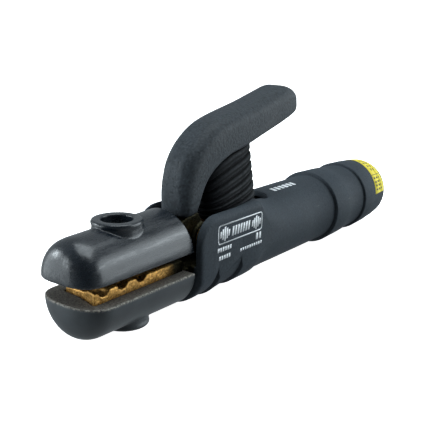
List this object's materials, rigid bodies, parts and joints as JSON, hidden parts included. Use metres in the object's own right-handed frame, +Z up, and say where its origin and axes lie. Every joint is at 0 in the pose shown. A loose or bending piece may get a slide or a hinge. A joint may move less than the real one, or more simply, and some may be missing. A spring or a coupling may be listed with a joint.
{
  "type": "welding electrode holder",
  "caption": "Insulated jaw-type welding electrode holder with a sprung lever, grooved brass jaws, a rubber-booted spring and a hollow moulded handle.",
  "frame": {"origin": "on the surface that the closed holder lies on, under the middle of its length, in its plane of symmetry", "axes": "+Y along the handle's axis towards the cable inlet, jaws towards -Y; +Z up, on the lever's side; +X towards the right cheek seen from behind the cable inlet looking at the jaws"},
  "size_m": [0.0358, 0.2244, 0.0813],
  "materials": {
    "cast_brass": "sand-cast brass with a rough bright surface",
    "turned_brass": "turned brass",
    "copper": "rolled copper sheet",
    "steel": "zinc-plated steel",
    "gloss_black": "glossy black glass-filled moulding",
    "satin_black": "satin black glass-filled moulding with a rough worn rim",
    "grainy_black": "black moulding with a fine leathery grain",
    "moulded_black": "matte black moulding with a fine spark-eroded texture",
    "boot_rubber": "matte black moulded rubber",
    "insulating_board": "brown laminated insulating board"
  },
  "bodies": {
    "holder": {"lower_jaw": "cast_brass", "lower_jaw_insulator": "satin_black", "lower_insulator_washer": "steel", "lower_insulator_screw": "steel", "pivot_pin": "steel", "pivot_washer_left": "turned_brass", "pivot_washer_right": "turned_brass", "pivot_clip_left": "steel", "pivot_clip_right": "steel", "handle": "moulded_black", "handle_screw": "steel", "cable_socket": "turned_brass", "cable_sleeve": "copper", "cable_screw_front": "steel", "cable_screw_rear": "steel", "spring_seat_lower": "insulating_board", "spring": "steel", "spring_boot": "boot_rubber"},
    "lever": {"upper_jaw": "cast_brass", "upper_jaw_insulator": "gloss_black", "upper_insulator_washer": "steel", "upper_insulator_screw": "steel", "lever_sheath": "grainy_black", "spring_seat_upper": "insulating_board"}
  },
  "joints": [
    {"name": "lever_pivot", "type": "hinge", "parent": "holder", "child": "lever", "pos_m": [0, -0.041, 0.025], "axis": [-1, 0, 0], "range_deg": [0, 22], "stiffness_Nm_per_rad": 4, "springref_deg": -25.78, "deforming": ["spring", "spring_boot"]}
  ]
}
